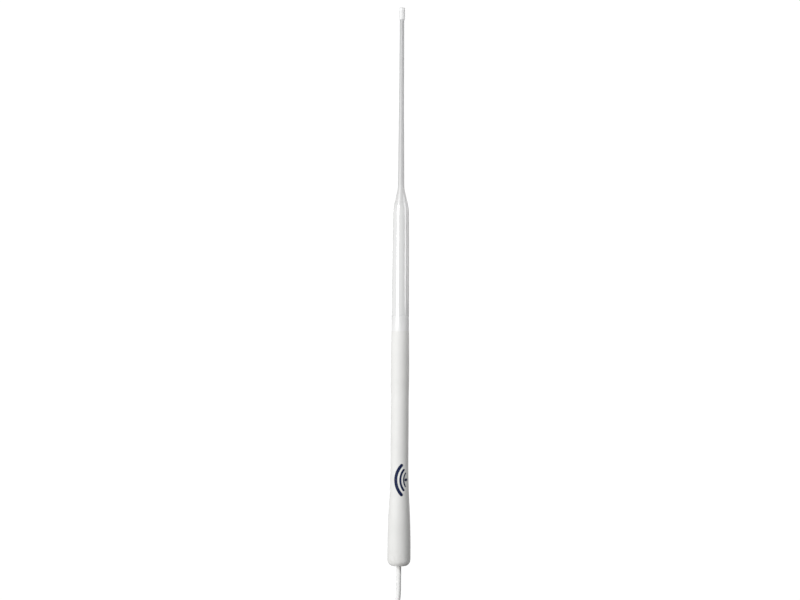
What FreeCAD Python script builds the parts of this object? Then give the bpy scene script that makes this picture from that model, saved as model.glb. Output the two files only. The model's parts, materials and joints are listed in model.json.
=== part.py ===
import FreeCAD, Part
import math
import os

import Sketcher

# A marine VHF whip antenna: a tapered fibreglass tube bonded into a flared foot, the end-fed
# half-wave radiator and its matching coil inside it, and the coaxial lead that leaves the foot,
# coiled and tied, with a UHF (PL-259) plug on its end. Millimetres, +Z up along the whip.
# The origin is the centre of the ring at the foot's mouth, where the foot seats on its mount.

DIMENSIONS = [
    # alias, value, what it is
    ("overall_length", 914, "seating ring to the top of the tip cap"),
    # fibreglass tube, outside
    ("tube_bottom", 30, "height of the tube's lower end inside the foot"),
    ("root_radius", 12.9, "tube where it is bonded into the foot"),
    ("foot_radius", 14.25, "tube just above the foot"),
    ("low_height", 524, "height at which the slow lower taper ends"),
    ("low_radius", 13.7, "tube there"),
    ("cone_bottom", 578, "lower end of the cone between the thick tube and the thin whip"),
    ("cone_bottom_radius", 13.15, "tube there"),
    ("cone_top", 624, "upper end of the cone"),
    ("cone_top_radius", 5.2, "tube there"),
    ("cone_blend", 12, "height of the rounded stretch at either end of the cone"),
    ("cone_blend_drop", 1.39, "how much the radius changes over that stretch"),
    ("cone_blend_radius", 53, "radius of that stretch's side"),
    ("mid_height", 693, "whip halfway up its thicker stretch"),
    ("mid_radius", 4.7, "tube there"),
    ("high_height", 742, "height at which the thin top stretch starts"),
    ("high_radius", 4.1, "tube there"),
    ("tip_radius", 3.63, "tube under the cap"),
    ("tip_land", 2, "straight stretch of the tube just below the cap"),
    # fibreglass tube, inside
    ("bore_radius", 9.7, "bore in the foot"),
    ("cone_bottom_wall", 3.65, "wall at the lower end of the cone"),
    ("cone_top_wall", 1.7, "wall at its upper end"),
    ("tip_bore_radius", 1.9, "bore under the cap"),
    # tip cap
    ("cap_radius", 4.97, "cap's outside"),
    ("cap_length", 19.7, "cap's length"),
    ("cap_grip", 11, "how far the tube goes into the cap"),
    ("cap_edge", 0.8, "rounding of the cap's edges"),
    # foot
    ("bell_radius", 18.95, "widest part of the foot"),
    ("seat_radius", 13.9, "outer edge of the seating ring"),
    ("mouth_radius", 13.1, "mouth of the foot, inner edge of the seating ring"),
    ("edge_height", 9.5, "height of the rounded lower edge"),
    ("bell_top", 26, "top of the straight part above the rounded edge"),
    ("neck_radius", 14.6, "neck above the flare"),
    ("neck_bottom", 170, "top of the flare"),
    ("neck_top", 273, "where the upper sleeve starts to swell"),
    ("swell_radius", 2785, "radius of the long swell's side"),
    ("foot_top", 384, "top of the foot"),
    ("lip_radius", 14.4, "foot's top edge"),
    # brass insert with the mounting thread, 1 inch - 14 UNS
    ("insert_bottom", 6, "lower face of the insert"),
    ("insert_top", 26, "upper face of the insert"),
    ("insert_radius", 14.4, "insert's outside"),
    ("insert_rib_radius", 15.2, "rib that keys it in the moulding"),
    ("insert_rib_width", 6, "width of the rib"),
    ("thread_major", 12.7, "thread's major radius"),
    ("thread_minor", 11.8, "thread's minor radius"),
    ("thread_pitch", 1.8143, "fourteen turns to the inch"),
    ("thread_turns", 10, "turns in the insert"),
    # base plug, its seal and the strain relief
    ("plug_top", 52, "upper face of the base plug"),
    ("boss_radius", 9.0, "boss through the foot's web"),
    ("ring_height", 44, "height of the seal"),
    ("ring_section", 0.85, "radius of the seal's section"),
    ("ring_groove", 2.21, "width of the seal's groove"),
    ("relief_tip", 4, "lower end of the strain relief, where the lead comes out"),
    ("relief_flange_radius", 6.9, "flange under the base plug"),
    ("relief_flange", 2, "flange's thickness"),
    ("relief_stem_radius", 5.2, "stem inside the base plug"),
    ("relief_stem", 10, "stem's length"),
    ("relief_root_radius", 5.9, "taper's thick end"),
    ("relief_tip_radius", 4.5, "taper's thin end"),
    # coaxial lead
    ("lead_radius", 3.8, "jacket of the lead"),
    ("braid_radius", 4.1, "braid folded back over the jacket"),
    ("dielectric_radius", 2.5, "the lead's inner insulation"),
    ("conductor_radius", 0.9, "the lead's inner conductor"),
    ("jacket_top", 60, "upper end of the jacket in the foot"),
    ("dielectric_top", 68, "upper end of the inner insulation"),
    # matching coil and radiator
    ("washer_height", 1.5, "thickness of the ground ring"),
    ("washer_gap", 0.4, "gap between the ground ring and the bore"),
    ("former_radius", 6.0, "coil former's outside"),
    ("former_bore", 4.3, "coil former's bore"),
    ("former_top", 165, "upper end of the coil former"),
    ("wire_radius", 0.75, "coil's wire"),
    ("coil_bottom", 92, "height of the coil's cold end"),
    ("coil_pitch", 5, "pitch of the coil"),
    ("coil_height", 50, "height of the coil"),
    ("sleeve_wall", 0.5, "heat-shrink over the coil"),
    ("sleeve_overhang", 4, "how far it reaches past the coil at either end"),
    ("tap_hole", 2, "side of the hole through which the coil is tapped"),
    ("socket_flange", 5, "thickness of the radiator socket's flange"),
    ("socket_stem", 15, "socket's stem in the former"),
    ("socket_neck", 10, "socket's neck round the radiator"),
    ("socket_neck_radius", 2.2, "neck's outside"),
    ("socket_floor", 3, "bottom of the radiator's seat, above the former"),
    ("rod_radius", 1.0, "radiator"),
    ("rod_length", 712, "radiator: a half wave at 157 MHz, shortened by the coil at its foot"),
    ("spacer_height", 8, "foam spacer's thickness"),
    ("spacer_count", 6, "foam spacers along the radiator"),
    ("first_spacer_rise", 20, "first spacer above the top of the foot"),
    ("last_spacer_drop", 30, "last spacer below the radiator's top"),
    ("tip_plug_length", 12, "resin plug in the tube's top"),
    # coil of the spare lead
    ("hank_height", -164, "height of the hank's centre"),
    ("hank_inner", 33.3, "hank's inner radius"),
    ("hank_outer", 55.5, "hank's outer radius"),
    ("hank_width", 46, "hank's width along its own axis"),
    ("hank_corner", 3.0, "rounding of the hank's section"),
    ("tie_wall", 1.2, "thickness of a cable tie"),
    ("tie_angle", 5, "width of a cable tie, as an angle about the hank's axis"),
    # PL-259 plug, heights from the tip of its pin
    ("plug_x", -38.2, "plug's axis"),
    ("plug_y", -27.1, "plug's axis"),
    ("plug_tip", -307, "height of the tip of the plug's pin"),
    ("pin_radius", 1.98, "centre pin, where it stands free"),
    ("pin_length", 30, "centre pin"),
    ("pin_root_radius", 2.4, "centre pin inside the insulator"),
    ("pin_shoulder", 13.9, "height of the step between the two"),
    ("nose_end", 6, "open end of the plug's nose"),
    ("nose_radius", 5.95, "nose's outside"),
    ("nose_bore", 4.75, "nose's bore"),
    ("insulator_face", 14, "front of the insulator"),
    ("insulator_back", 22, "back of the insulator"),
    ("nose_edge", 0.3, "how far the nose's open edge is bevelled"),
    ("flange_radius", 6.9, "flange that holds the coupling ring"),
    ("flange_width", 2.2, "flange's width"),
    ("shoulder_length", 3, "how far the nose's radius runs on behind the coupling ring"),
    ("body_radius", 5.6, "body's tail"),
    ("body_end", 44, "rear end of the body"),
    ("reducer_radius", 4.55, "reducer's stem in the body"),
    ("reducer_front", 38, "front end of the reducer"),
    ("collar_radius", 5.4, "reducer's collar"),
    ("collar_end", 50, "rear end of the collar"),
    ("boot_radius", 6.3, "boot over the collar"),
    ("boot_front", 46, "front end of the boot"),
    ("boot_taper", 53, "where the boot's taper starts"),
    ("boot_end", 75, "rear end of the boot"),
    ("boot_tip_radius", 4.8, "boot's thin end"),
    ("lead_end", 66, "where the lead's own stretch inside the boot ends"),
    ("coupling_front", 4, "front of the coupling ring"),
    ("coupling_back", 22, "back of the coupling ring"),
    ("coupling_radius", 9.1, "coupling ring's outside"),
    ("coupling_bevel", 0.6, "bevel of its outer edges, across"),
    ("coupling_bevel_height", 0.8, "the same bevel, along the axis"),
    ("coupling_major", 7.94, "its thread's major radius, five eighths of an inch across"),
    ("coupling_minor", 7.4, "its thread's minor radius"),
    ("coupling_pitch", 1.058, "twenty-four turns to the inch"),
    ("coupling_turns", 10, "turns in the coupling ring"),
    ("coupling_start", 0.4, "start of the first turn above the ring's front"),
    ("coupling_lip", 2, "thickness of the lip behind the body's flange"),
    ("running_gap", 0.1, "radial clearance of the coupling ring on the body"),
    ("side_gap", 0.3, "clearance between the ring's lip and the flange"),
    ("flute_count", 40, "flutes of the coupling ring's knurl"),
    ("flute_depth", 0.45, "depth of a flute"),
]

doc = FreeCAD.newDocument("whip_antenna")
sheet = doc.addObject("Spreadsheet::Sheet", "Size")
for row, (alias, value, note) in enumerate(DIMENSIONS, start=1):
    sheet.set(f"A{row}", note)
    sheet.set(f"B{row}", str(value))
    sheet.setAlias(f"B{row}", alias)
doc.recompute()

NODES = []


def size(expression):
    """The value of an expression in the sheet's aliases, such as Size.bell_radius."""
    return float(sheet.evalExpression(str(expression)))


def node(item, label):
    """Give a finished sub-part its own label and put it on the list of nodes."""
    item.Label = label
    NODES.append(item)
    return item


def origin_plane(body, role):
    return next(part for part in body.Origin.OriginFeatures if part.Role == role)


def arc_middle(start, end, radius, side):
    """The middle of an arc between two points that bulges to the left (1) or right (-1)."""
    chord = end - start
    half = chord.Length / 2
    rise = radius - math.sqrt(radius ** 2 - half ** 2)
    across = FreeCAD.Vector(-chord.y, chord.x, 0).normalize()
    return (start + end) / 2 + across * rise * side


def sketch_outline(body, name, corners, role="XZ_Plane"):
    """A closed, fully constrained sketch on one of the body's own planes.

    A corner is (across, up), or (across, up, radius, side) when the side that ends there is an
    arc. Each of them is an expression in the sheet's aliases, and so is each constraint."""
    sketch = body.newObject("Sketcher::SketchObject", name)
    sketch.AttachmentSupport = (origin_plane(body, role), [""])
    sketch.MapMode = "FlatFace"
    points = [FreeCAD.Vector(size(corner[0]), size(corner[1]), 0) for corner in corners]
    sides = []
    for index, corner in enumerate(corners):
        start, end = points[index - 1], points[index]
        if len(corner) == 2:
            edge = Part.LineSegment(start, end)
        else:
            edge = Part.Arc(start, arc_middle(start, end, size(corner[2]), corner[3]), end)
        number = sketch.addGeometry(edge)
        first, second = sketch.getPoint(number, 1), sketch.getPoint(number, 2)
        turned_round = first.distanceToPoint(start) > second.distanceToPoint(start)
        sides.append((number, 2, 1) if turned_round else (number, 1, 2))
    for (number, _, last), (following, first, _) in zip(sides, sides[1:] + sides[:1]):
        sketch.addConstraint(Sketcher.Constraint("Coincident", number, last, following, first))
    for corner, point, (number, _, last) in zip(corners, points, sides):
        bound = [
            (Sketcher.Constraint("DistanceX", -1, 1, number, last, point.x), corner[0]),
            (Sketcher.Constraint("DistanceY", -1, 1, number, last, point.y), corner[1]),
        ]
        if len(corner) > 2:
            bound.append((Sketcher.Constraint("Radius", number, size(corner[2])), corner[2]))
        for constraint, expression in bound:
            placed = sketch.addConstraint(constraint)
            sketch.setExpression(f"Constraints[{placed}]", str(expression))
    return sketch


def set_place(item, x="0", y="0", z="0"):
    """Bind a sub-part's place to the sheet."""
    for axis, expression in (("x", x), ("y", y), ("z", z)):
        item.setExpression(f"Placement.Base.{axis}", expression)


def turned(label, corners, x="0", y="0", z="0"):
    """A sub-part turned about its own upright axis from an outline of (radius, height)."""
    body = doc.addObject("PartDesign::Body", label)
    sketch = sketch_outline(body, f"{label}_outline", corners)
    solid = body.newObject("PartDesign::Revolution", f"{label}_turned")
    solid.Profile = sketch
    solid.ReferenceAxis = (sketch, ["V_Axis"])
    solid.Angle = 360
    set_place(body, x, y, z)
    doc.recompute()
    return node(body, label)


def cut_thread(body, bottom, minor, major, pitch, turns):
    """Ring grooves with a thread's pitch and depth, inside a bore.

    The crest between two grooves and the root of each are given as shares of the pitch."""
    overlap = 0.2
    half_crest = 0.12
    half_root = 0.05
    corners = [
        (f"{minor} - {overlap}", f"{bottom} + {half_crest} * {pitch}"),
        (major, f"{bottom} + (0.5 - {half_root}) * {pitch}"),
        (major, f"{bottom} + (0.5 + {half_root}) * {pitch}"),
        (f"{minor} - {overlap}", f"{bottom} + (1 - {half_crest}) * {pitch}"),
    ]
    sketch = sketch_outline(body, f"{body.Label}_thread_outline", corners)
    groove = body.newObject("PartDesign::Groove", f"{body.Label}_thread_turn")
    groove.Profile = sketch
    groove.ReferenceAxis = (sketch, ["V_Axis"])
    groove.Angle = 360
    doc.recompute()
    pattern = body.newObject("PartDesign::LinearPattern", f"{body.Label}_thread")
    pattern.Originals = [groove]
    pattern.Direction = (sketch, ["V_Axis"])
    pattern.setExpression("Length", f"({turns} - 1) * {pitch}")
    pattern.setExpression("Occurrences", turns)
    body.Tip = pattern
    doc.recompute()


def pocket(body, name, corners, role, pattern_count=None):
    """A pocket through everything from one of the origin planes, repeated about the axis."""
    sketch = sketch_outline(body, f"{name}_outline", corners, role)
    cut = body.newObject("PartDesign::Pocket", name)
    cut.Profile = sketch
    cut.Type = "ThroughAll"
    cut.Midplane = role == "XY_Plane"
    cut.Reversed = role != "XY_Plane"
    doc.recompute()
    if pattern_count:
        pattern = body.newObject("PartDesign::PolarPattern", f"{name}_pattern")
        pattern.Originals = [cut]
        pattern.Axis = (origin_plane(body, "Z_Axis"), [""])
        pattern.Angle = 360
        pattern.setExpression("Occurrences", pattern_count)
        body.Tip = pattern
        doc.recompute()


def rod(label, radius, bottom, height, x="0", y="0", is_node=True):
    """An upright cylinder bound to the sheet."""
    item = doc.addObject("Part::Cylinder", label)
    item.setExpression("Radius", radius)
    item.setExpression("Height", height)
    set_place(item, x, y, bottom)
    doc.recompute()
    return node(item, label) if is_node else item


# The tip ------------------------------------------------------------------------------------

CAP_BOTTOM = "Size.overall_length - Size.cap_length"
TUBE_TOP = f"{CAP_BOTTOM} + Size.cap_grip"
EDGE = "Size.cap_edge"

turned("tip_cap", [
    ("Size.tip_radius", CAP_BOTTOM),
    ("Size.cap_radius - Size.cap_edge", CAP_BOTTOM),
    ("Size.cap_radius", f"{CAP_BOTTOM} + {EDGE}", f"1.01 * {EDGE}", -1),
    ("Size.cap_radius", f"Size.overall_length - {EDGE}"),
    (f"Size.cap_radius - {EDGE}", "Size.overall_length", f"1.01 * {EDGE}", -1),
    ("0", "Size.overall_length"),
    ("0", TUBE_TOP),
    ("Size.tip_radius", TUBE_TOP),
])
rod("tip_plug", "Size.tip_bore_radius", f"{TUBE_TOP} - Size.tip_plug_length", "Size.tip_plug_length")

# The fibreglass tube ------------------------------------------------------------------------

BORE = [
    ("Size.bore_radius", "Size.foot_top"),
    ("Size.cone_bottom_radius - Size.cone_bottom_wall", "Size.cone_bottom"),
    ("Size.cone_top_radius - Size.cone_top_wall", "Size.cone_top"),
    ("Size.tip_bore_radius", f"{TUBE_TOP} - Size.tip_plug_length"),
]
turned("radome_tube", [
    ("Size.bore_radius", "Size.tube_bottom"),
    ("Size.root_radius", "Size.tube_bottom"),
    ("Size.root_radius", "Size.foot_top"),
    ("Size.foot_radius", "Size.foot_top"),
    ("Size.low_radius", "Size.low_height"),
    ("Size.cone_bottom_radius", "Size.cone_bottom"),
    ("Size.cone_bottom_radius - Size.cone_blend_drop", "Size.cone_bottom + Size.cone_blend",
     "Size.cone_blend_radius", -1),
    ("Size.cone_top_radius + Size.cone_blend_drop", "Size.cone_top - Size.cone_blend"),
    ("Size.cone_top_radius", "Size.cone_top", "Size.cone_blend_radius", 1),
    ("Size.mid_radius", "Size.mid_height"),
    ("Size.high_radius", "Size.high_height"),
    ("Size.tip_radius", f"{CAP_BOTTOM} - Size.tip_land"),
    ("Size.tip_radius", TUBE_TOP),
    ("Size.tip_bore_radius", TUBE_TOP),
] + BORE[::-1])

# The foot and its threaded insert -----------------------------------------------------------

RIB_BOTTOM = "Size.insert_bottom + Size.insert_rib_width"
RIB_TOP = f"{RIB_BOTTOM} + Size.insert_rib_width"
EDGE_STEP = "(Size.bell_radius - Size.seat_radius)"
FLARE_STEP = "(Size.bell_radius - Size.neck_radius)"
FLARE_HEIGHT = "(Size.neck_bottom - Size.bell_top)"
FLARE_RADIUS = f"({FLARE_HEIGHT}^2 + {FLARE_STEP}^2) / (4 * {FLARE_STEP})"

turned("base_ferrule", [
    ("Size.mouth_radius", "0"),
    ("Size.seat_radius", "0"),
    ("Size.bell_radius", "Size.edge_height",
     f"({EDGE_STEP}^2 + Size.edge_height^2) / (2 * {EDGE_STEP})", -1),
    ("Size.bell_radius", "Size.bell_top"),
    ("(Size.bell_radius + Size.neck_radius) / 2", "(Size.bell_top + Size.neck_bottom) / 2",
     FLARE_RADIUS, -1),
    ("Size.neck_radius", "Size.neck_bottom", FLARE_RADIUS, 1),
    ("Size.neck_radius", "Size.neck_top"),
    ("Size.lip_radius", "Size.foot_top", "Size.swell_radius", -1),
    ("Size.root_radius", "Size.foot_top"),
    ("Size.root_radius", "Size.tube_bottom"),
    ("Size.boss_radius", "Size.tube_bottom"),
    ("Size.boss_radius", "Size.insert_top"),
    ("Size.insert_radius", "Size.insert_top"),
    ("Size.insert_radius", RIB_TOP),
    ("Size.insert_rib_radius", RIB_TOP),
    ("Size.insert_rib_radius", RIB_BOTTOM),
    ("Size.insert_radius", RIB_BOTTOM),
    ("Size.insert_radius", "Size.insert_bottom"),
    ("Size.mouth_radius", "Size.insert_bottom"),
])
insert = turned("thread_insert", [
    ("Size.thread_minor", "Size.insert_bottom"),
    ("Size.insert_radius", "Size.insert_bottom"),
    ("Size.insert_radius", RIB_BOTTOM),
    ("Size.insert_rib_radius", RIB_BOTTOM),
    ("Size.insert_rib_radius", RIB_TOP),
    ("Size.insert_radius", RIB_TOP),
    ("Size.insert_radius", "Size.insert_top"),
    ("Size.thread_minor", "Size.insert_top"),
])
cut_thread(insert, "Size.insert_bottom + Size.thread_pitch / 2", "Size.thread_minor",
           "Size.thread_major", "Size.thread_pitch", "Size.thread_turns")

# The base plug, its seal and the strain relief ----------------------------------------------

SEAL_CENTRE = "Size.bore_radius - Size.ring_section"
SEAL_ROOT = "Size.bore_radius - 2 * Size.ring_section"
SEAL_LOW = "Size.ring_height - Size.ring_groove / 2"
SEAL_HIGH = "Size.ring_height + Size.ring_groove / 2"
STEM_TOP = "Size.insert_top + Size.relief_stem"

turned("base_plug", [
    ("Size.relief_stem_radius", "Size.insert_top"),
    ("Size.boss_radius", "Size.insert_top"),
    ("Size.boss_radius", "Size.tube_bottom"),
    ("Size.bore_radius", "Size.tube_bottom"),
    ("Size.bore_radius", SEAL_LOW),
    (SEAL_ROOT, SEAL_LOW),
    (SEAL_ROOT, SEAL_HIGH),
    ("Size.bore_radius", SEAL_HIGH),
    ("Size.bore_radius", "Size.plug_top"),
    ("Size.lead_radius", "Size.plug_top"),
    ("Size.lead_radius", STEM_TOP),
    ("Size.relief_stem_radius", STEM_TOP),
])
seal = doc.addObject("Part::Torus", "base_o_ring")
seal.setExpression("Radius1", SEAL_CENTRE)
seal.setExpression("Radius2", "Size.ring_section")
set_place(seal, z="Size.ring_height")
node(seal, "base_o_ring")
turned("cable_grommet", [
    ("Size.lead_radius", "Size.relief_tip"),
    ("Size.relief_tip_radius", "Size.relief_tip"),
    ("Size.relief_root_radius", "Size.insert_top - Size.relief_flange"),
    ("Size.relief_flange_radius", "Size.insert_top - Size.relief_flange"),
    ("Size.relief_flange_radius", "Size.insert_top"),
    ("Size.relief_stem_radius", "Size.insert_top"),
    ("Size.relief_stem_radius", STEM_TOP),
    ("Size.lead_radius", STEM_TOP),
])

# The lead's stripped end in the foot --------------------------------------------------------

WASHER_TOP = "Size.plug_top + Size.washer_height"
TAP_HEIGHT = "Size.coil_bottom + Size.coil_pitch / 2"

rod("inner_coax", "Size.lead_radius", "Size.relief_tip", "Size.jacket_top - Size.relief_tip")
turned("coax_braid", [
    ("Size.lead_radius", WASHER_TOP),
    ("Size.braid_radius", WASHER_TOP),
    ("Size.braid_radius", "Size.jacket_top"),
    ("Size.lead_radius", "Size.jacket_top"),
])
rod("coax_dielectric", "Size.dielectric_radius", "Size.jacket_top",
    "Size.dielectric_top - Size.jacket_top")
rod("coax_conductor", "Size.conductor_radius", "Size.dielectric_top",
    f"{TAP_HEIGHT} + Size.conductor_radius - Size.dielectric_top")
turned("ground_ring", [
    ("Size.lead_radius", "Size.plug_top"),
    ("Size.bore_radius - Size.washer_gap", "Size.plug_top"),
    ("Size.bore_radius - Size.washer_gap", WASHER_TOP),
    ("Size.lead_radius", WASHER_TOP),
])

# The matching coil --------------------------------------------------------------------------

COIL_RADIUS = "(Size.former_radius + Size.wire_radius)"
COIL_TOP = "Size.coil_bottom + Size.coil_height"
SOCKET_FLANGE_TOP = "Size.former_top + Size.socket_flange"

former = turned("coil_former", [
    ("Size.former_bore", WASHER_TOP),
    ("Size.former_radius", WASHER_TOP),
    ("Size.former_radius", "Size.former_top"),
    ("Size.former_bore", "Size.former_top"),
])
tap_hole = sketch_outline(former, "tap_hole_outline", [
    ("-Size.tap_hole / 2", f"{TAP_HEIGHT} - Size.tap_hole / 2"),
    ("Size.tap_hole / 2", f"{TAP_HEIGHT} - Size.tap_hole / 2"),
    ("Size.tap_hole / 2", f"{TAP_HEIGHT} + Size.tap_hole / 2"),
    ("-Size.tap_hole / 2", f"{TAP_HEIGHT} + Size.tap_hole / 2"),
], "YZ_Plane")
tap_cut = former.newObject("PartDesign::Pocket", "tap_hole")
tap_cut.Profile = tap_hole
tap_cut.Type = "ThroughAll"
doc.recompute()

coil = doc.addObject("PartDesign::Body", "matching_coil")
wire_section = coil.newObject("Sketcher::SketchObject", "wire_section")
wire_section.AttachmentSupport = (origin_plane(coil, "XZ_Plane"), [""])
wire_section.MapMode = "FlatFace"
wire_centre = FreeCAD.Vector(size(COIL_RADIUS), size("Size.coil_bottom"), 0)
wire_section.addGeometry(Part.Circle(wire_centre, FreeCAD.Vector(0, 0, 1), size("Size.wire_radius")))
for kind, value, expression in (
    ("DistanceX", wire_centre.x, COIL_RADIUS),
    ("DistanceY", wire_centre.y, "Size.coil_bottom"),
):
    placed = wire_section.addConstraint(Sketcher.Constraint(kind, -1, 1, 0, 3, value))
    wire_section.setExpression(f"Constraints[{placed}]", expression)
placed = wire_section.addConstraint(Sketcher.Constraint("Radius", 0, size("Size.wire_radius")))
wire_section.setExpression(f"Constraints[{placed}]", "Size.wire_radius")
winding = coil.newObject("PartDesign::AdditiveHelix", "winding")
winding.Profile = wire_section
winding.ReferenceAxis = (wire_section, ["V_Axis"])
winding.Mode = "pitch-height-angle"
winding.setExpression("Pitch", "Size.coil_pitch")
winding.setExpression("Height", "Size.coil_height")
node(coil, "matching_coil")

cold_lead = rod("cold_lead", "Size.wire_radius", WASHER_TOP,
                f"Size.coil_bottom - Size.wire_radius - ({WASHER_TOP})", x=COIL_RADIUS, is_node=False)
hot_lead = rod("hot_lead", "Size.wire_radius", f"{COIL_TOP} + Size.wire_radius",
               f"Size.former_top - ({COIL_TOP} + Size.wire_radius)", x=COIL_RADIUS, is_node=False)
leads = doc.addObject("Part::Compound", "coil_leads")
leads.Links = [cold_lead, hot_lead]
node(leads, "coil_leads")

tap = doc.addObject("Part::Cylinder", "tap_lead")
tap.setExpression("Radius", "Size.conductor_radius")
tap.setExpression("Height", "Size.former_radius - Size.conductor_radius")
tap.Placement.Rotation = FreeCAD.Rotation(FreeCAD.Vector(0, 1, 0), -90)
set_place(tap, "-Size.conductor_radius", "0", TAP_HEIGHT)
node(tap, "tap_lead")

WINDING_RADIUS = f"({COIL_RADIUS} + Size.wire_radius)"
SLEEVE_BOTTOM = "Size.coil_bottom - Size.sleeve_overhang"
SLEEVE_TOP = f"{COIL_TOP} + Size.sleeve_overhang"
turned("coil_sleeve", [
    (WINDING_RADIUS, SLEEVE_BOTTOM),
    (f"{WINDING_RADIUS} + Size.sleeve_wall", SLEEVE_BOTTOM),
    (f"{WINDING_RADIUS} + Size.sleeve_wall", SLEEVE_TOP),
    (WINDING_RADIUS, SLEEVE_TOP),
])

CAPACITOR_RADIUS = 3.6
CAPACITOR_THICKNESS = 2.2
CAPACITOR_LIFT = 15
CAPACITOR_LEG = 0.3
CAPACITOR_LEG_SPACING = 5
CAPACITOR_FRONT = "Size.former_radius + 0.3"
disc = doc.addObject("Part::Cylinder", "capacitor_disc")
disc.Radius = CAPACITOR_RADIUS
disc.Height = CAPACITOR_THICKNESS
disc.Placement.Rotation = FreeCAD.Rotation(FreeCAD.Vector(1, 0, 0), -90)
set_place(disc, "0", CAPACITOR_FRONT, f"{WASHER_TOP} + {CAPACITOR_LIFT}")
legs = []
for side in (-1, 1):
    legs.append(rod(f"capacitor_leg_{len(legs)}", str(CAPACITOR_LEG), WASHER_TOP, str(CAPACITOR_LIFT),
                    x=str(side * CAPACITOR_LEG_SPACING / 2),
                    y=f"{CAPACITOR_FRONT} + {CAPACITOR_THICKNESS} / 2", is_node=False))
capacitor = doc.addObject("Part::MultiFuse", "matching_capacitor")
capacitor.Shapes = [disc] + legs
node(capacitor, "matching_capacitor")

# The radiator and its spacers ---------------------------------------------------------------

ROD_BOTTOM = "Size.former_top + Size.socket_floor"
turned("rod_socket", [
    ("0", "Size.former_top - Size.socket_stem"),
    ("Size.former_bore", "Size.former_top - Size.socket_stem"),
    ("Size.former_bore", "Size.former_top"),
    (WINDING_RADIUS, "Size.former_top"),
    (WINDING_RADIUS, SOCKET_FLANGE_TOP),
    ("Size.socket_neck_radius", SOCKET_FLANGE_TOP),
    ("Size.socket_neck_radius", f"{SOCKET_FLANGE_TOP} + Size.socket_neck"),
    ("Size.rod_radius", f"{SOCKET_FLANGE_TOP} + Size.socket_neck"),
    ("Size.rod_radius", ROD_BOTTOM),
    ("0", ROD_BOTTOM),
])
rod("radiator_rod", "Size.rod_radius", ROD_BOTTOM, "Size.rod_length")


def bore_at(height):
    """The tube's inner radius at a height above the foot."""
    steps = [(size(up), size(across)) for across, up in BORE]
    for (low, low_radius), (high, high_radius) in zip(steps, steps[1:]):
        if height <= high:
            return low_radius + (high_radius - low_radius) * (height - low) / (high - low)


def foam_spacer(bottom):
    """A foam disc that fills the tube round the radiator; its side has the bore's taper."""
    top = bottom + size("Size.spacer_height")
    disc = Part.makeCone(bore_at(bottom), bore_at(top), top - bottom, FreeCAD.Vector(0, 0, bottom))
    hole = Part.makeCylinder(size("Size.rod_radius"), top - bottom, FreeCAD.Vector(0, 0, bottom))
    return disc.cut(hole)


spacer_count = int(size("Size.spacer_count"))
first_spacer = size("Size.foot_top + Size.first_spacer_rise")
last_spacer = size(f"{ROD_BOTTOM} + Size.rod_length - Size.last_spacer_drop")
spacer_gap = (last_spacer - first_spacer) / (spacer_count - 1)
spacers = doc.addObject("Part::Feature", "rod_spacers")
spacers.Shape = Part.makeCompound([
    foam_spacer(first_spacer + spacer_gap * number) for number in range(spacer_count)
])
node(spacers, "rod_spacers")

# The lead -----------------------------------------------------------------------------------

LEAD_LENGTH = 4500
LENGTH_TOLERANCE = 0.02
TUBE_TOLERANCE = 0.005
ARC_REACH = 0.45
HANK_RADIUS = 44.4
HANK_TURNS = 15
PLUG_AXIS = (size("Size.plug_x"), size("Size.plug_y"))

# from the strain relief down to the hank's outermost layer, and from its innermost layer over
# its front and down to the plug
RUN_ROUTE = [
    (0, 0, size("Size.relief_tip")),
    (0, 0, -26),
    (-0.5, 0.6, -54),
    (-6, 4.5, -82),
    (-22.5, 11.5, -109),
    (-44.7, 19, -138.2),
]
TAIL_ROUTE = [
    (-32.2, -19, -145.4),
    (-37, -24.6, -159),
    (-38.6, -27.4, -178),
    (-38.8, -27.6, -199),
    PLUG_AXIS + (-220,),
    PLUG_AXIS + (size("Size.plug_tip + Size.lead_end"),),
]


def lead_path(route):
    """Straight runs joined by tangent arcs as large as the two runs at each point allow."""
    points = [FreeCAD.Vector(*point) for point in route]
    edges = []
    radii = []
    start = points[0]
    for before, corner, after in zip(points, points[1:], points[2:]):
        inward, outward = before - corner, after - corner
        reach = ARC_REACH * min(inward.Length, outward.Length)
        inward.normalize()
        outward.normalize()
        turn = math.pi - inward.getAngle(outward)
        radii.append(reach / math.tan(turn / 2))
        arc_start = corner + inward * reach
        arc_end = corner + outward * reach
        depth = radii[-1] * (1 / math.cos(turn / 2) - 1)
        middle = corner + (inward + outward).normalize() * depth
        edges.append(Part.LineSegment(start, arc_start).toShape())
        edges.append(Part.Arc(arc_start, middle, arc_end).toShape())
        start = arc_end
    edges.append(Part.LineSegment(start, points[-1]).toShape())
    print("bend radii", [round(radius) for radius in radii])
    return Part.Wire(edges)


def lead_tube(route):
    """The lead's tube along a route, and its length."""
    path = lead_path(route)
    along = FreeCAD.Vector(*route[1]) - FreeCAD.Vector(*route[0])
    circle = Part.makeCircle(size("Size.lead_radius"), FreeCAD.Vector(*route[0]), along)
    tube = path.makePipeShell([Part.Wire(circle)], True, False)
    section = math.pi * size("Size.lead_radius") ** 2
    if abs(tube.Volume / (section * path.Length) - 1) > TUBE_TOLERANCE:
        raise RuntimeError("the lead's tube has the wrong volume")
    return tube, path.Length


run_tube, run_length = lead_tube(RUN_ROUTE)
tail_tube, tail_length = lead_tube(TAIL_ROUTE)
hank_length = HANK_TURNS * 2 * math.pi * HANK_RADIUS
made_length = run_length + hank_length + tail_length
print("lead", round(made_length), "mm")
if abs(made_length / LEAD_LENGTH - 1) > LENGTH_TOLERANCE:
    raise RuntimeError("the lead isn't as long as it should be")

# The hank, turned about an axis along Y, and its ties ---------------------------------------

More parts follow.
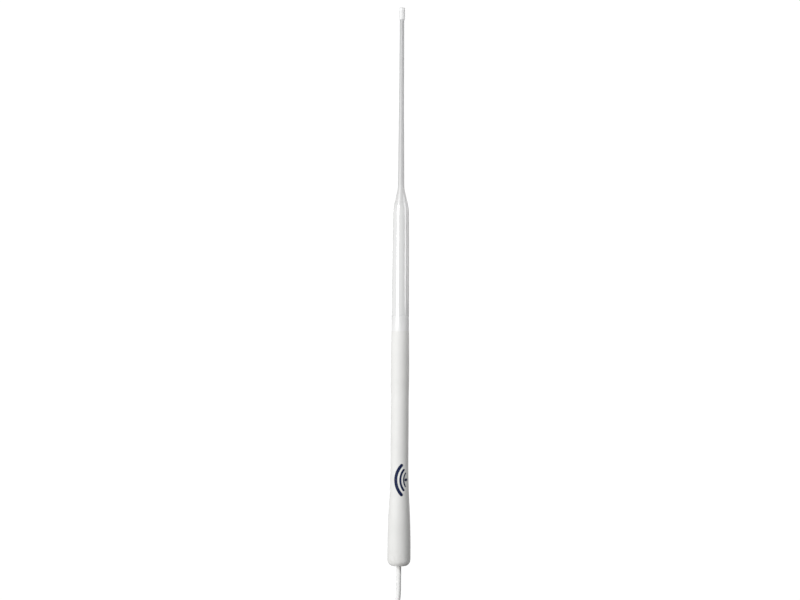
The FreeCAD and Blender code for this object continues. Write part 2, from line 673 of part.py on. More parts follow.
CORNER = "Size.hank_corner"
hank = doc.addObject("PartDesign::Body", "cable_coil")
hank_section = sketch_outline(hank, "hank_section", [
    (f"Size.hank_width - {CORNER}", "Size.hank_inner"),
    ("Size.hank_width", f"Size.hank_inner + {CORNER}", f"1.001 * {CORNER}", -1),
    ("Size.hank_width", f"Size.hank_outer - {CORNER}"),
    (f"Size.hank_width - {CORNER}", "Size.hank_outer", f"1.001 * {CORNER}", -1),
    (CORNER, "Size.hank_outer"),
    ("0", f"Size.hank_outer - {CORNER}", f"1.001 * {CORNER}", -1),
    ("0", f"Size.hank_inner + {CORNER}"),
    (CORNER, "Size.hank_inner", f"1.001 * {CORNER}", -1),
], "YZ_Plane")
hank_solid = hank.newObject("PartDesign::Revolution", "hank_turned")
hank_solid.Profile = hank_section
hank_solid.ReferenceAxis = (hank_section, ["H_Axis"])
hank_solid.Angle = 360
set_place(hank, y="-Size.hank_width / 2", z="Size.hank_height")
doc.recompute()
node(hank, "cable_coil")

HANK_AXIS = FreeCAD.Vector(0, 1, 0)
HANK_CENTRE = FreeCAD.Vector(0, 0, size("Size.hank_height"))
TIE_PLACES = (100, 250, 350)


def rounded_loop(low, high, half_width, corner):
    """A rounded rectangle across the hank's section, from one radius to another."""
    box = Part.makeBox(1, 2 * half_width, high - low, FreeCAD.Vector(0, -half_width, low))
    upright = [edge for edge in box.Edges if abs(edge.tangentAt(edge.FirstParameter).x) > 0.9]
    rounded = box.makeFillet(corner, upright)
    return next(face for face in rounded.Faces if face.CenterOfMass.x < 1e-6).OuterWire


def cable_tie(place):
    """A flat band round the hank's section with its ratchet head on the outside."""
    wall, corner = size("Size.tie_wall"), size(CORNER)
    low, high = size("Size.hank_inner"), size("Size.hank_outer")
    half_width = size("Size.hank_width / 2")
    outer = rounded_loop(low - wall, high + wall, half_width + wall, corner + wall)
    inner = rounded_loop(low, high, half_width, corner)
    angle = size("Size.tie_angle")
    band = Part.Face([outer, inner]).revolve(FreeCAD.Vector(), HANK_AXIS, angle)
    band.rotate(FreeCAD.Vector(), HANK_AXIS, -angle / 2)
    head_width, head_length, head_height = 5.6, 6.4, 3.6
    head = Part.makeBox(head_width, head_length, head_height,
                        FreeCAD.Vector(-head_width / 2, -head_length / 2, high + wall / 2))
    tie = band.fuse(head)
    tie.rotate(FreeCAD.Vector(), HANK_AXIS, 90 - place)
    tie.translate(HANK_CENTRE)
    return tie


ties = doc.addObject("Part::Feature", "cable_ties")
ties.Shape = Part.makeCompound([cable_tie(place) for place in TIE_PLACES])
node(ties, "cable_ties")
tie_space = ties.Shape

for label, tube in (("cable_run", run_tube), ("cable_tail", tail_tube)):
    piece = doc.addObject("Part::Feature", label)
    piece.Shape = tube.cut(hank.Shape).cut(tie_space).Solids[0]
    node(piece, label)

# The PL-259 plug, hanging from the lead's tail with its pin down ----------------------------

PLUG = {"x": "Size.plug_x", "y": "Size.plug_y", "z": "Size.plug_tip"}
PIN_HOLE_RADIUS = 0.8
PIN_HOLE_DEPTH = 9
PIN_TIP = 1.2

turned("plug_pin", [
    (str(PIN_HOLE_RADIUS), "0"),
    (f"Size.pin_radius - {PIN_TIP} / 2", "0"),
    ("Size.pin_radius", str(PIN_TIP), str(PIN_TIP), -1),
    ("Size.pin_radius", "Size.pin_shoulder"),
    ("Size.pin_root_radius", "Size.pin_shoulder"),
    ("Size.pin_root_radius", "Size.pin_length"),
    ("0", "Size.pin_length"),
    ("0", str(PIN_HOLE_DEPTH)),
    (str(PIN_HOLE_RADIUS), str(PIN_HOLE_DEPTH)),
], **PLUG)
turned("plug_insulator", [
    ("Size.pin_root_radius", "Size.insulator_face"),
    ("Size.nose_bore", "Size.insulator_face"),
    ("Size.nose_bore", "Size.insulator_back"),
    ("Size.pin_root_radius", "Size.insulator_back"),
], **PLUG)

FLANGE_BACK = "Size.coupling_back - Size.coupling_lip - Size.side_gap"
plug_body = turned("plug_body", [
    ("Size.nose_bore", "Size.nose_end"),
    ("Size.nose_radius - Size.nose_edge", "Size.nose_end"),
    ("Size.nose_radius", "Size.nose_end + 2 * Size.nose_edge"),
    ("Size.nose_radius", f"{FLANGE_BACK} - Size.flange_width"),
    ("Size.flange_radius", f"{FLANGE_BACK} - Size.flange_width"),
    ("Size.flange_radius", FLANGE_BACK),
    ("Size.nose_radius", FLANGE_BACK),
    ("Size.nose_radius", "Size.coupling_back + Size.shoulder_length"),
    ("Size.body_radius", "Size.coupling_back + Size.shoulder_length + 1"),
    ("Size.body_radius", "Size.body_end"),
    ("Size.reducer_radius", "Size.body_end"),
    ("Size.reducer_radius", "Size.insulator_back"),
    ("Size.nose_bore", "Size.insulator_back"),
], **PLUG)
SLOT_HALF = 0.9
SLOT_DEPTH = 3
pocket(plug_body, "nose_slots", [
    (str(-SLOT_HALF), "Size.nose_end - 1"),
    (str(SLOT_HALF), "Size.nose_end - 1"),
    (str(SLOT_HALF), f"Size.nose_end + {SLOT_DEPTH}"),
    (str(-SLOT_HALF), f"Size.nose_end + {SLOT_DEPTH}"),
], "XZ_Plane", "4")
SOLDER_HALF = 1.2
SOLDER_BOTTOM = "Size.coupling_back + 7"
pocket(plug_body, "solder_holes", [
    (str(-SOLDER_HALF), SOLDER_BOTTOM),
    (str(SOLDER_HALF), SOLDER_BOTTOM),
    (str(SOLDER_HALF), f"{SOLDER_BOTTOM} + 2 * {SOLDER_HALF}"),
    (str(-SOLDER_HALF), f"{SOLDER_BOTTOM} + 2 * {SOLDER_HALF}"),
], "XZ_Plane", "4")

turned("plug_reducer", [
    ("Size.lead_radius", "Size.reducer_front"),
    ("Size.reducer_radius", "Size.reducer_front"),
    ("Size.reducer_radius", "Size.body_end"),
    ("Size.collar_radius", "Size.body_end"),
    ("Size.collar_radius", "Size.collar_end"),
    ("Size.lead_radius", "Size.collar_end"),
], **PLUG)
turned("plug_boot", [
    ("Size.collar_radius", "Size.boot_front"),
    ("Size.boot_radius", "Size.boot_front"),
    ("Size.boot_radius", "Size.boot_taper"),
    ("Size.boot_tip_radius", "Size.boot_end"),
    ("Size.lead_radius", "Size.boot_end"),
    ("Size.lead_radius", "Size.collar_end"),
    ("Size.collar_radius", "Size.collar_end"),
], **PLUG)
turned("plug_lead_end", [
    ("0", "Size.pin_length"),
    ("Size.conductor_radius", "Size.pin_length"),
    ("Size.conductor_radius", "Size.pin_length + 2"),
    ("Size.dielectric_radius", "Size.pin_length + 2"),
    ("Size.dielectric_radius", "Size.reducer_front"),
    ("Size.lead_radius", "Size.reducer_front"),
    ("Size.lead_radius", "Size.lead_end"),
    ("0", "Size.lead_end"),
], **PLUG)

LIP_FRONT = "Size.coupling_back - Size.coupling_lip"
coupling = turned("coupling_ring", [
    ("Size.coupling_minor", "Size.coupling_front"),
    ("Size.coupling_radius - Size.coupling_bevel", "Size.coupling_front"),
    ("Size.coupling_radius", "Size.coupling_front + Size.coupling_bevel_height"),
    ("Size.coupling_radius", "Size.coupling_back - Size.coupling_bevel_height"),
    ("Size.coupling_radius - Size.coupling_bevel", "Size.coupling_back"),
    ("Size.nose_radius + Size.running_gap", "Size.coupling_back"),
    ("Size.nose_radius + Size.running_gap", LIP_FRONT),
    ("Size.coupling_minor", LIP_FRONT),
], **PLUG)
cut_thread(coupling, "Size.coupling_front + Size.coupling_start", "Size.coupling_minor", "Size.coupling_major",
           "Size.coupling_pitch", "Size.coupling_turns")
FLUTE_HALF = 0.5
pocket(coupling, "flutes", [
    ("Size.coupling_radius - Size.flute_depth", "0"),
    ("Size.coupling_radius + 1", str(-2 * FLUTE_HALF)),
    ("Size.coupling_radius + 1", str(2 * FLUTE_HALF)),
], "XY_Plane", "Size.flute_count")

# Check and write ----------------------------------------------------------------------------

doc.recompute()
for item in doc.Objects:
    if "Invalid" in item.State or "Error" in item.State:
        raise RuntimeError(f"{item.Label} failed: {item.State}")
for item in NODES:
    if item.Shape.isNull() or not item.Shape.isValid():
        raise RuntimeError(f"{item.Label} has no valid shape")

os.makedirs("parts", exist_ok=True)
for item in NODES:
    item.Shape.exportStep(f"parts/{item.Label}.step")
    box = item.Shape.BoundBox
    print(f"{item.Label}: {len(item.Shape.Solids)} solids, {item.Shape.Volume:.0f} mm3,"
          f" z {box.ZMin:.1f} to {box.ZMax:.1f}")
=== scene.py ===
import json
import math

import bpy
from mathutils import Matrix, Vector
from mathutils.bvhtree import BVHTree


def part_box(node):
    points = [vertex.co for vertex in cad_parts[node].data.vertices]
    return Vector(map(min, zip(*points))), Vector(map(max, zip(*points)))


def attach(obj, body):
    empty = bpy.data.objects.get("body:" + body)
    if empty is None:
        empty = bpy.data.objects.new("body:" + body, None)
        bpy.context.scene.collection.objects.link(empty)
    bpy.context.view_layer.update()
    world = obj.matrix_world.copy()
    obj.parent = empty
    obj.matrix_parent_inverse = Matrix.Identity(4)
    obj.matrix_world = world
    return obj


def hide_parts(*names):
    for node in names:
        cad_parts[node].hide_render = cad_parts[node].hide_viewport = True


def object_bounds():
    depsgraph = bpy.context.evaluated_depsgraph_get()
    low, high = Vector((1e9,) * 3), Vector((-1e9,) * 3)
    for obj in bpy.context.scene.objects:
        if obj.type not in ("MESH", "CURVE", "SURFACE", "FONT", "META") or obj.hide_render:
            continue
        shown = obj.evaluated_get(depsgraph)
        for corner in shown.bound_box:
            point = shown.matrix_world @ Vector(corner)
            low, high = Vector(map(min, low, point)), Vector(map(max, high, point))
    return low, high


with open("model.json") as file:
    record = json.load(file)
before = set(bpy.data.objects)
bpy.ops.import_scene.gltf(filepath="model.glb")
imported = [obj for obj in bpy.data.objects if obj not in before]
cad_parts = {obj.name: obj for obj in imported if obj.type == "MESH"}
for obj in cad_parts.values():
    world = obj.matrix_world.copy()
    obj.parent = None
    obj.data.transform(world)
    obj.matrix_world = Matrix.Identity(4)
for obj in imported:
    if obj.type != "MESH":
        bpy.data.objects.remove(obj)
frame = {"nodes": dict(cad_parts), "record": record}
cad_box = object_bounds()
nodes = frame["nodes"]
scene = bpy.context.scene
scene.view_settings.view_transform = "Standard"

BODY = "antenna"
MM = 0.001

# ---------------------------------------------------------------- camera
# Level, a little under the whip's middle and looking along +Y, so that the whip stands upright
# with its tip just inside the top of the picture and the foot near the bottom.

PICTURE_WIDTH = 1.3127      # metres across the picture at the whip
CAMERA_DISTANCE = 2.5
CAMERA_HEIGHT = 0.4348
CAMERA_SIDE = -0.0007
SENSOR = 36.0
LEAN = math.radians(0.33)   # the whip leans this much to the right, so the camera rolls left


def add_camera():
    """The one camera, level and looking along +Y."""
    data = bpy.data.cameras.new("camera")
    data.sensor_width = SENSOR
    data.lens = SENSOR * CAMERA_DISTANCE / PICTURE_WIDTH
    data.clip_end = 100
    camera = bpy.data.objects.new("camera", data)
    camera.location = (CAMERA_SIDE, -CAMERA_DISTANCE, CAMERA_HEIGHT)
    camera.rotation_euler = (math.radians(90), -LEAN, 0)
    scene.collection.objects.link(camera)
    scene.camera = camera


add_camera()

# ---------------------------------------------------------------- the lead
# One curve: down out of the strain relief, round the tied hank layer by layer, over its front
# and down to the plug.

LEAD_RADIUS = 3.8 * MM
RUN = [
    (0, 0, 4),
    (0, 0, -26),
    (-0.3, 0.4, -56),
    (-6, 4.5, -82),
    (-22.5, 11.5, -109),
    (-44.7, 19, -138.2),
]
TAIL = [
    (-32.2, -19, -145.4),
    (-37, -24.6, -159),
    (-38.6, -27.4, -178),
    (-38.8, -27.6, -199),
    (-38.2, -27.1, -220),
    (-38.2, -27.1, -241),
]
HANK_HEIGHT = -164
HANK_LAYERS = (51.6, 44.4, 37.2)
HANK_REACH = 19             # how far the turns' middles spread either way along Y
TURNS_PER_LAYER = 5
POINTS_PER_TURN = 16
HANK_START = 150            # degrees round the hank, where the run joins it


def hank_points():
    """The turns' points: each layer runs from one side of the hank to the other and back."""
    points = []
    count = len(HANK_LAYERS) * TURNS_PER_LAYER * POINTS_PER_TURN
    outside = 1 / math.cos(math.pi / POINTS_PER_TURN)
    for number in range(1, count):
        turns = number / POINTS_PER_TURN
        layer = min(int(turns / TURNS_PER_LAYER), len(HANK_LAYERS) - 1)
        share = turns / TURNS_PER_LAYER - layer
        side = 1 if layer % 2 == 0 else -1
        radius = HANK_LAYERS[layer]
        to_next = 1 - share
        step = 0.5 / TURNS_PER_LAYER
        if to_next < step and layer + 1 < len(HANK_LAYERS):
            blend = 1 - to_next / step
            radius += (HANK_LAYERS[layer + 1] - radius) * blend ** 2 * (3 - 2 * blend)
        angle = math.radians(HANK_START) + turns * 2 * math.pi
        points.append((
            radius * outside * math.cos(angle),
            side * HANK_REACH * (1 - 2 * share),
            HANK_HEIGHT + radius * outside * math.sin(angle),
        ))
    return points


def add_lead():
    """The lead as one cord, in place of the CAD cable run, coil and tail."""
    curve = bpy.data.curves.new("coax_lead", "CURVE")
    curve.dimensions = "3D"
    curve.bevel_depth = 1.0     # times each point's radius
    curve.bevel_resolution = 6
    curve.use_fill_caps = True
    spline = curve.splines.new("NURBS")
    route = RUN + hank_points() + TAIL
    spline.points.add(len(route) - 1)
    for point, place in zip(spline.points, route):
        point.co = (*(MM * value for value in place), 1)
        point.radius = LEAD_RADIUS
    spline.order_u = 3
    spline.use_endpoint_u = True
    spline.resolution_u = 4
    lead = bpy.data.objects.new("coax_lead", curve)
    scene.collection.objects.link(lead)
    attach(lead, BODY)
    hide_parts("cable_run", "cable_coil", "cable_tail")
    return lead


lead = add_lead()

# ---------------------------------------------------------------- materials

CONE_BOTTOM = 0.58          # the thick tube ends here, and its heavy lacquer with it
CONE_TOP = 0.625            # the thin whip starts here
RUBBED = 0.036              # height of the matt stretch just above the foot
SHADE_AND_GRIME_TOP = 0.03                # painted shade, partly grime and yellowing, on the foot end up to here


class Shader:
    """A principled material and the nodes that vary it over the surface."""

    def __init__(self, name, **sockets):
        self.material = bpy.data.materials.new(name)
        self.material.use_nodes = True
        self.tree = self.material.node_tree
        self.surface = self.tree.nodes["Principled BSDF"]
        for socket, value in sockets.items():
            self.surface.inputs[socket.replace("_", " ")].default_value = value
        self.place = self.add("ShaderNodeTexCoord").outputs["Object"]

    def add(self, kind, **settings):
        node = self.tree.nodes.new(kind)
        for name, value in settings.items():
            setattr(node, name, value)
        return node

    def link(self, source, target):
        self.tree.links.new(source, target)

    def noise(self, scale, stretch=(1, 1, 1), detail=3.0):
        """Noise whose grain is 1/scale metres, drawn out along an axis by a small stretch."""
        mapping = self.add("ShaderNodeMapping")
        mapping.inputs["Scale"].default_value = [scale * value for value in stretch]
        self.link(self.place, mapping.inputs["Vector"])
        noise = self.add("ShaderNodeTexNoise")
        noise.inputs["Scale"].default_value = 1.0
        noise.inputs["Detail"].default_value = detail
        self.link(mapping.outputs["Vector"], noise.inputs["Vector"])
        return noise.outputs["Fac"]

    def between(self, value, low, high, start=0.3, end=0.7):
        """value, which runs from start to end, spread from low to high."""
        spread = self.add("ShaderNodeMapRange")
        spread.inputs["From Min"].default_value = start
        spread.inputs["From Max"].default_value = end
        spread.inputs["To Min"].default_value = low
        spread.inputs["To Max"].default_value = high
        self.link(value, spread.inputs["Value"])
        return spread.outputs["Result"]

    def mix(self, factor, first, second):
        """A colour from first to second as factor goes from 0 to 1."""
        mixer = self.add("ShaderNodeMix", data_type="RGBA")
        self.link(factor, mixer.inputs["Factor"])
        for socket, colour in ((mixer.inputs[6], first), (mixer.inputs[7], second)):
            if isinstance(colour, tuple):
                socket.default_value = (*colour, 1)
            else:
                self.link(colour, socket)
        return mixer.outputs[2]

    def height(self):
        """The Z coordinate, in metres."""
        split = self.add("ShaderNodeSeparateXYZ")
        self.link(self.place, split.inputs["Vector"])
        return split.outputs["Z"]

    def colour(self, source):
        self.link(source, self.surface.inputs["Base Color"])

    def roughness(self, source):
        self.link(source, self.surface.inputs["Roughness"])

    def bump(self, source, depth):
        """Relief of that depth, in metres."""
        bump = self.add("ShaderNodeBump")
        bump.inputs["Strength"].default_value = 1.0
        bump.inputs["Distance"].default_value = depth
        self.link(source, bump.inputs["Height"])
        self.link(bump.outputs["Normal"], self.surface.inputs["Normal"])


def gelcoat():
    """White fibreglass: glossy and thickly lacquered low down, rubbed matt just above the foot,
    satin and grey on the thin whip: partly a greyer finish, partly painted shade that darkens towards
    the tip."""
    foot_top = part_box("base_ferrule")[1][2]
    shader = Shader("gelcoat", Specular_IOR_Level=0.8, IOR=1.7)
    height = shader.height()
    thin = shader.between(height, 0, 1, CONE_BOTTOM, CONE_TOP)
    drift = shader.between(shader.noise(14, (1, 1, 0.35)), 0, 1)
    low = shader.mix(drift, (0.815, 0.818, 0.815), (0.845, 0.848, 0.845))
    # painted shade: the whip's grey darkens towards the tip, standing in for the light falling off up
    # the whip; its starting grey is partly also a greyer finish
    painted_falloff_up = shader.between(height, 0, 1, CONE_TOP, cad_box[1][2])
    high = shader.mix(painted_falloff_up, (0.6, 0.6, 0.6), (0.5, 0.505, 0.51))
    shader.colour(shader.mix(thin, low, high))
    matt = shader.add("ShaderNodeMath", operation="ADD", use_clamp=True)
    shader.link(thin, matt.inputs[0])
    shader.link(shader.between(height, 1, 0, foot_top, foot_top + RUBBED), matt.inputs[1])
    patches = shader.noise(60, (1, 1, 0.2))
    rough = shader.add("ShaderNodeMapRange")
    shader.link(matt.outputs["Value"], rough.inputs["Value"])
    shader.link(shader.between(patches, 0.08, 0.14), rough.inputs["To Min"])
    shader.link(shader.between(patches, 0.5, 0.62), rough.inputs["To Max"])
    shader.roughness(rough.outputs["Result"])
    shader.bump(shader.noise(900, (1, 1, 0.02), 4.0), 0.00001)
    return shader.material


def ferrule_nylon():
    """Matt moulded nylon: fine sparks of texture, darker and a little yellow near its lower edge, partly
    grime and partly painted shade.
    """
    shader = Shader("ferrule_nylon", Specular_IOR_Level=0.35)
    drift = shader.between(shader.noise(22), 0, 1)
    clean = shader.mix(drift, (0.785, 0.785, 0.77), (0.835, 0.835, 0.82))
    # painted shade with grime: a patchy darker, yellowish tone towards the foot's lower edge
    low = shader.between(shader.height(), 1, 0, 0, SHADE_AND_GRIME_TOP)
    shade_and_grime = shader.add("ShaderNodeMath", operation="MULTIPLY")
    shader.link(low, shade_and_grime.inputs[0])
    shader.link(shader.between(shader.noise(160), 0, 0.55, 0.4, 0.75), shade_and_grime.inputs[1])
    shader.colour(shader.mix(shade_and_grime.outputs["Value"], clean, (0.52, 0.5, 0.46)))
    shader.roughness(shader.between(shader.noise(90), 0.48, 0.62))
    shader.bump(shader.noise(1600, detail=2.0), 0.00004)
    return shader.material


def cap_plastic():
    """Bright white moulded plastic, half gloss."""
    shader = Shader("cap_plastic", Specular_IOR_Level=0.5)
    drift = shader.between(shader.noise(200), 0, 1)
    shader.colour(shader.mix(drift, (0.84, 0.845, 0.85), (0.88, 0.88, 0.88)))
    shader.roughness(shader.between(shader.noise(400), 0.3, 0.42))
    shader.bump(shader.noise(2200), 0.00002)
    return shader.material


def cable_jacket():
    """White PVC: satin, with faint fine grain and the smudges of a handled lead."""
    shader = Shader("cable_jacket", Specular_IOR_Level=0.45)
    smudge = shader.between(shader.noise(45), 0, 1, 0.45, 0.75)
    shader.colour(shader.mix(smudge, (0.88, 0.88, 0.875), (0.83, 0.828, 0.815)))
    shader.roughness(shader.between(shader.noise(120), 0.36, 0.46))
    shader.bump(shader.noise(1200, detail=1.0), 0.000008)
    return shader.material


def metal(name, tone, tarnish, rough, lines=3000):
    """Turned or plated metal: fine tool lines round Z and patches of tarnish."""
    shader = Shader(name, Metallic=1.0)
    patches = shader.between(shader.noise(260), 0, 1, 0.45, 0.75)
    shader.colour(shader.mix(patches, tone, tarnish))
    shader.roughness(shader.between(shader.noise(500), rough, rough + 0.16))
    shader.bump(shader.noise(lines, (0.02, 0.02, 1)), 0.00002)
    return shader.material


def plain(name, tone, shade, rough, grain, depth, **sockets):
    """A moulded or cast material with mottled colour and its own grain."""
    shader = Shader(name, **sockets)
    shader.colour(shader.mix(shader.between(shader.noise(grain / 8), 0, 1), tone, shade))
    shader.roughness(shader.between(shader.noise(grain / 4), rough, rough + 0.12))
    shader.bump(shader.noise(grain), depth)
    return shader.material


def braid():
    """Tinned copper braid: fine strands in diagonal bands."""
    shader = Shader("tinned_braid", Metallic=1.0)
    wave = shader.add("ShaderNodeTexWave", wave_type="BANDS", bands_direction="DIAGONAL")
    wave.inputs["Scale"].default_value = 900
    wave.inputs["Distortion"].default_value = 1.5
    shader.link(shader.place, wave.inputs["Vector"])
    shader.colour(shader.mix(wave.outputs["Fac"], (0.35, 0.35, 0.35), (0.75, 0.75, 0.76)))
    shader.roughness(shader.between(shader.noise(300), 0.3, 0.5))
    shader.bump(wave.outputs["Fac"], 0.0001)
    return shader.material


MATERIALS = {
    "gelcoat": gelcoat(),
    "ferrule_nylon": ferrule_nylon(),
    "cap_plastic": cap_plastic(),
    "cable_jacket": cable_jacket(),
    "nickel": metal("nickel", (0.68, 0.67, 0.64), (0.5, 0.48, 0.44), 0.2),
    "brass": metal("brass", (0.79, 0.6, 0.28), (0.5, 0.36, 0.17), 0.24),
    "copper": metal("copper", (0.8, 0.44, 0.28), (0.5, 0.26, 0.17), 0.28),
    "tinned_braid": braid(),
    "rubber": plain("rubber", (0.028, 0.028, 0.03), (0.05, 0.05, 0.05), 0.5, 1600, 0.00005),
    "resin": plain("resin", (0.5, 0.45, 0.33), (0.58, 0.53, 0.4), 0.35, 700, 0.00004),
    "ptfe": plain("ptfe", (0.8, 0.8, 0.78), (0.86, 0.86, 0.85), 0.4, 1200, 0.00002),
    "shrink_tube": plain("shrink_tube", (0.02, 0.02, 0.022), (0.035, 0.035, 0.035), 0.42, 900, 0.00003),
    "ceramic": plain("ceramic", (0.5, 0.24, 0.07), (0.58, 0.3, 0.1), 0.3, 900, 0.00003),
    "foam": plain("foam", (0.78, 0.77, 0.7), (0.86, 0.85, 0.8), 0.75, 2200, 0.0003),
    "tie_nylon": plain("tie_nylon", (0.74, 0.74, 0.69), (0.81, 0.81, 0.77), 0.35, 900, 0.00003),
    "badge_print": plain("badge_print", (0.003, 0.008, 0.045), (0.006, 0.015, 0.07), 0.55, 1800, 0.00001,
                         Specular_IOR_Level=0.2),
}


def finish_nodes():
    """Every CAD node takes its own slot's material."""
    for entry in frame["record"]["subparts"]:
        node = nodes[entry["node"]]
        node.data.materials.clear()
        node.data.materials.append(MATERIALS[entry["material_slot"]])


finish_nodes()
lead.data.materials.append(MATERIALS["cable_jacket"])

# ---------------------------------------------------------------- the printed mark
# Three radio-wave arcs and a dot, printed on the front of the flare. The mark is drawn flat, in
# millimetres across and up, and laid on the foot from the front.

MARK_CENTRE = (29.5, 141.0)
MARK_ARCS = ((35.4, 5.0, 47), (28.0, 3.3, 40), (22.5, 2.0, 32))     # radius, stroke, half angle
DOT_CENTRE = (10.5, 141.0)
DOT_RADIUS = 2.3
INK_DEPTH = 0.1             # how far the ink stands off the foot
COLUMNS = 6                 # faces across an arc's stroke
ARC_STEPS = 48              # and along it
DOT_RINGS = (0.5, 1.0)
DOT_SIDES = 40
IN_FRONT = -0.1             # the mark is laid on the foot from here on Y


def arc_strip(radius, stroke, half_angle):
    """Rows of points across an arc-shaped stroke with round ends."""
    cap = stroke / 2 / radius
    reach = math.radians(half_angle)
    rows = []
    for step in range(ARC_STEPS + 1):
        angle = reach * (2 * step / ARC_STEPS - 1)
        left = (reach - abs(angle)) / cap
        half = stroke / 2 * (1 if left >= 1 else math.sqrt(max(0.0, 1 - (1 - left) ** 2)))
        turn = math.pi + angle
        edges = [radius + half * (2 * column / COLUMNS - 1) for column in range(COLUMNS + 1)]
        rows.append([(MARK_CENTRE[0] + edge * math.cos(turn), MARK_CENTRE[1] + edge * math.sin(turn))
                     for edge in edges])
    return rows


def add_mark():
    """The arcs and the dot as one thin skin of ink on the foot."""
    foot = BVHTree.FromPolygons([vertex.co for vertex in nodes["base_ferrule"].data.vertices],
                                [face.vertices for face in nodes["base_ferrule"].data.polygons])

    def on_foot(across, up):
        start = Vector((across * MM, IN_FRONT, up * MM))
        place, normal, _, _ = foot.ray_cast(start, Vector((0, 1, 0)))
        return place + normal * INK_DEPTH * MM

    vertices, faces = [], []
    for radius, stroke, half_angle in MARK_ARCS:
        rows = arc_strip(radius, stroke, half_angle)
        first = len(vertices)
        vertices += [on_foot(*point) for row in rows for point in row]
        for row in range(len(rows) - 1):
            for column in range(COLUMNS):
                corner = first + (COLUMNS + 1) * row + column
                following = corner + COLUMNS + 1
                faces.append((corner, corner + 1, following + 1, following))
    first = len(vertices)
    vertices.append(on_foot(*DOT_CENTRE))
    for ring in DOT_RINGS:
        for side in range(DOT_SIDES):
            turn = 2 * math.pi * side / DOT_SIDES
            vertices.append(on_foot(DOT_CENTRE[0] + ring * DOT_RADIUS * math.cos(turn),
                                    DOT_CENTRE[1] + ring * DOT_RADIUS * math.sin(turn)))
    for side in range(DOT_SIDES):
        following = (side + 1) % DOT_SIDES
        inner = first + 1 + side, first + 1 + following
        faces.append((first, *inner))
        faces.append((inner[0], inner[0] + DOT_SIDES, inner[1] + DOT_SIDES, inner[1]))
    mesh = bpy.data.meshes.new("printed_mark")
    mesh.from_pydata(vertices, [], faces)
    mesh.shade_smooth()
    mark = bpy.data.objects.new("printed_mark", mesh)
    scene.collection.objects.link(mark)
    mark.data.materials.append(MATERIALS["badge_print"])
    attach(mark, BODY)


add_mark()

# ---------------------------------------------------------------- stage

FLOOR_HEIGHT = cad_box[0][2] - 3 * MM
FLOOR_RADIUS = 1.25
FLOOR_SIDES = 96
WHITE_FROM = 0.15           # the pale floor fades into the white round it from here to its rim
FLOOR_GLOW = 0.5            # how much of the floor's light is its own in the middle
WHITE = 1.05                # strength of the white background
ROOM_LEFT = 0.27            # strength of the room's own light, from the left and from the right
ROOM_RIGHT = 0.1
AIM = Vector((0, 0, 0.45))  # the softboxes face this point of the whip
SOFTBOXES = (               # name, bearing, distance, height, width, tall, power
    ("key", -41, 2.6, 0.7, 1.1, 2.4, 69),
    ("strip", 70, 0.8, 0.78, 0.4, 0.8, 3.0),
    ("rim", 118, 0.8, 0.8, 0.36, 0.8, 1.4),
    ("back", 190, 2.6, 0.7, 1.1, 2.4, 32),
)


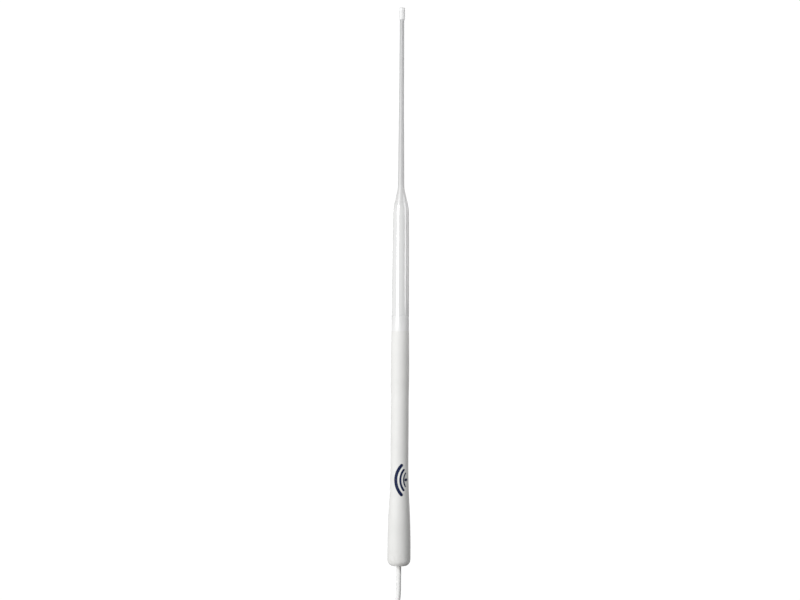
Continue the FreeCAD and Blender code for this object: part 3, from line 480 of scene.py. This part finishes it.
def add_floor():
    """A pale floor that fades into the white background well away from the whip."""
    mesh = bpy.data.meshes.new("floor")
    turns = [2 * math.pi * side / FLOOR_SIDES for side in range(FLOOR_SIDES)]
    rim = [(FLOOR_RADIUS * math.cos(turn), FLOOR_RADIUS * math.sin(turn), FLOOR_HEIGHT)
           for turn in turns]
    mesh.from_pydata(rim, [], [list(range(FLOOR_SIDES))])
    floor = bpy.data.objects.new("floor", mesh)
    scene.collection.objects.link(floor)
    shader = Shader("pale_floor", Roughness=0.9, Specular_IOR_Level=0.1)
    drift = shader.between(shader.noise(3), 0, 1)
    shader.colour(shader.mix(drift, (0.82, 0.82, 0.82), (0.84, 0.84, 0.84)))
    reach = shader.add("ShaderNodeVectorMath", operation="LENGTH")
    shader.link(shader.place, reach.inputs[0])
    fade = shader.between(reach.outputs["Value"], FLOOR_GLOW, 1, WHITE_FROM, FLOOR_RADIUS)
    glow = shader.add("ShaderNodeEmission")
    glow.inputs["Strength"].default_value = WHITE
    blend = shader.add("ShaderNodeMixShader")
    shader.link(fade, blend.inputs["Fac"])
    shader.link(shader.surface.outputs["BSDF"], blend.inputs[1])
    shader.link(glow.outputs["Emission"], blend.inputs[2])
    shader.link(blend.outputs["Shader"], shader.tree.nodes["Material Output"].inputs["Surface"])
    floor.data.materials.append(shader.material)
    floor.visible_diffuse = False


def add_softbox(name, bearing, distance, height, width, tall, power):
    """An upright softbox at a bearing to the right of the camera, turned to the whip."""
    data = bpy.data.lights.new(name, "AREA")
    data.shape = "RECTANGLE"
    data.size = width
    data.size_y = tall
    data.energy = power
    box = bpy.data.objects.new(name, data)
    turn = math.radians(bearing)
    box.location = (distance * math.sin(turn), -distance * math.cos(turn), height)
    box.rotation_euler = (AIM - box.location).to_track_quat("-Z", "Y").to_euler()
    box.visible_camera = False
    scene.collection.objects.link(box)


def add_sky():
    """A white background for the eye, and a soft room, lighter on the left, for the light."""
    world = bpy.data.worlds.new("studio")
    scene.world = world
    world.use_nodes = True
    tree = world.node_tree
    room = tree.nodes["Background"]
    place = tree.nodes.new("ShaderNodeTexCoord")
    split = tree.nodes.new("ShaderNodeSeparateXYZ")
    spread = tree.nodes.new("ShaderNodeMapRange")
    spread.inputs["From Min"].default_value = -1
    spread.inputs["From Max"].default_value = 1
    spread.inputs["To Min"].default_value = ROOM_LEFT
    spread.inputs["To Max"].default_value = ROOM_RIGHT
    tree.links.new(place.outputs["Generated"], split.inputs["Vector"])
    tree.links.new(split.outputs["X"], spread.inputs["Value"])
    tree.links.new(spread.outputs["Result"], room.inputs["Strength"])
    white = tree.nodes.new("ShaderNodeBackground")
    white.inputs["Strength"].default_value = WHITE
    for background in (room, white):
        background.inputs["Color"].default_value = (1, 1, 1, 1)
    path = tree.nodes.new("ShaderNodeLightPath")
    blend = tree.nodes.new("ShaderNodeMixShader")
    tree.links.new(path.outputs["Is Camera Ray"], blend.inputs["Fac"])
    tree.links.new(room.outputs["Background"], blend.inputs[1])
    tree.links.new(white.outputs["Background"], blend.inputs[2])
    tree.links.new(blend.outputs["Shader"], tree.nodes["World Output"].inputs["Surface"])


add_floor()
for softbox in SOFTBOXES:
    add_softbox(*softbox)
add_sky()
